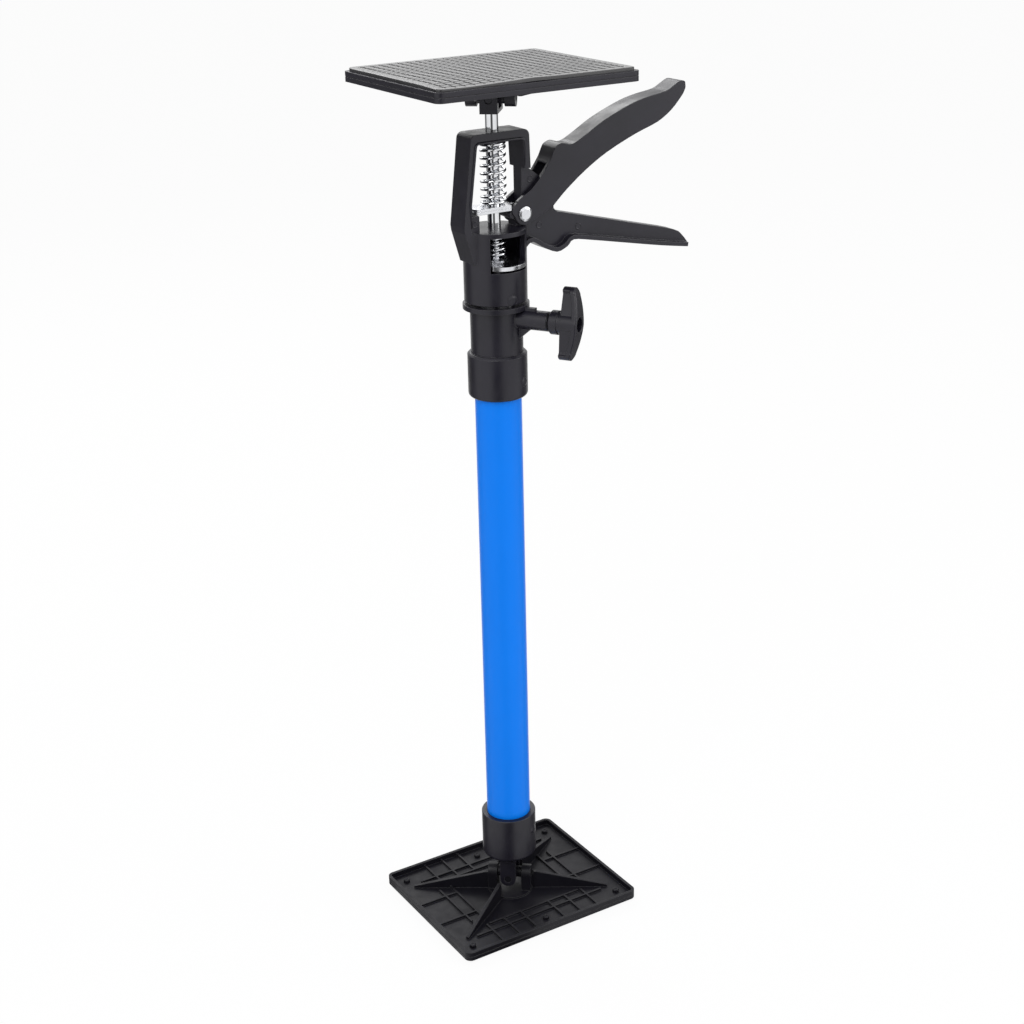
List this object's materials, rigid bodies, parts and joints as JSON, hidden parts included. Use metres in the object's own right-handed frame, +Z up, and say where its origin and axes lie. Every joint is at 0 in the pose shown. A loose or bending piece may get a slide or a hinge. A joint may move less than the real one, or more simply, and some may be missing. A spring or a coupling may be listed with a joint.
{
  "type": "telescopic drywall support pole",
  "caption": "Telescopic support pole with tilting padded plates at both ends, a clamp knob on its tube and a squeeze-lever head that lifts the top plate.",
  "frame": {"origin": "on the pole's axis, at the underside of the foot pad", "axes": "+Z up along the pole, +X towards the squeeze lever and the lower handle"},
  "size_m": [0.1895, 0.102, 0.5097],
  "materials": {
    "black_plastic": "satin",
    "pad_rubber": "matte",
    "blue_paint": "satin",
    "zinc_steel": "satin",
    "chrome_steel": "polished",
    "brass": "satin"
  },
  "bodies": {
    "base": {"base_plate": "black_plastic", "base_pad": "pad_rubber"},
    "foot_link": {"foot_cross": "black_plastic"},
    "pole": {"outer_tube": "blue_paint", "foot_socket": "black_plastic", "foot_rivets": "black_plastic", "collar": "black_plastic", "collar_rivets": "black_plastic", "clamp_insert": "brass"},
    "shoe": {"clamp_shoe": "brass"},
    "knob": {"clamp_knob": "black_plastic", "clamp_screw": "zinc_steel"},
    "guide": {"tube_guide": "black_plastic"},
    "head": {"head_housing": "black_plastic", "inner_tube": "zinc_steel", "head_pins": "black_plastic", "pivot_rivet": "zinc_steel", "drive_spring": "zinc_steel", "release_spring": "zinc_steel"},
    "lever": {"squeeze_lever": "black_plastic"},
    "drive": {"drive_plate_lower": "zinc_steel", "drive_plate_upper": "zinc_steel"},
    "release": {"release_plate": "zinc_steel"},
    "rod": {"lift_rod": "chrome_steel", "rod_stop_washer": "zinc_steel", "rod_stop_screw": "zinc_steel"},
    "fork": {"top_fork": "black_plastic"},
    "top_link": {"top_cross": "black_plastic"},
    "top": {"top_plate": "black_plastic", "top_pad": "pad_rubber"}
  },
  "joints": [
    {"name": "foot_tilt_a", "type": "hinge", "parent": "base", "child": "foot_link", "pos_m": [0, 0, 0.0155], "axis": [0.766, -0.6428, 0], "range_deg": [-20, 20]},
    {"name": "foot_tilt_b", "type": "hinge", "parent": "foot_link", "child": "pole", "pos_m": [0, 0, 0.0155], "axis": [0.6428, 0.766, 0], "range_deg": [-20, 20]},
    {"name": "clamp_travel", "type": "slide", "parent": "pole", "child": "shoe", "axis": [0.5446, -0.8387, 0], "range_m": [0, 0.002]},
    {"name": "knob_turn", "type": "hinge", "parent": "shoe", "child": "knob", "pos_m": [0, 0, 0.375], "axis": [0.5446, -0.8387, 0], "range_deg": [0, 720]},
    {"name": "telescope", "type": "slide", "parent": "pole", "child": "guide", "axis": [0, 0, 1], "range_m": [0, 0.25]},
    {"name": "head_swivel", "type": "hinge", "parent": "guide", "child": "head", "pos_m": [0, 0, 0.06], "axis": [0, 0, 1], "continuous": true},
    {"name": "lever_squeeze", "type": "hinge", "parent": "head", "child": "lever", "pos_m": [0.0158, 0, 0.431], "axis": [0, 1, 0], "range_deg": [0, 26], "stiffness_Nm_per_rad": 0.5, "springref_deg": -11.46},
    {"name": "drive_lift", "type": "slide", "parent": "head", "child": "drive", "axis": [0, 0, 1], "range_m": [0, 0.0031], "deforming": ["drive_spring"]},
    {"name": "release_tilt", "type": "hinge", "parent": "head", "child": "release", "pos_m": [0, 0.01245, 0.40997], "axis": [-1, 0, 0], "range_deg": [0, 10.5], "stiffness_Nm_per_rad": 0.4, "springref_deg": -11.46, "deforming": ["release_spring"]},
    {"name": "rod_lift", "type": "slide", "parent": "head", "child": "rod", "axis": [0, 0, 1], "range_m": [0, 0.295]},
    {"name": "top_swivel", "type": "hinge", "parent": "rod", "child": "fork", "pos_m": [0, 0, 0.4872], "axis": [0, 0, 1], "continuous": true},
    {"name": "top_tilt_b", "type": "hinge", "parent": "fork", "child": "top_link", "pos_m": [0, 0, 0.4942], "axis": [0.6428, 0.766, 0], "range_deg": [-20, 20]},
    {"name": "top_tilt_a", "type": "hinge", "parent": "top_link", "child": "top", "pos_m": [0, 0, 0.4942], "axis": [0.766, -0.6428, 0], "range_deg": [-20, 20]}
  ],
  "couplings": [
    {"joint": "knob_turn", "follows": "clamp_travel", "rad_per_m": 6283.2},
    {"joint": "drive_lift", "follows": "lever_squeeze", "m_per_rad": 0.0068}
  ]
}
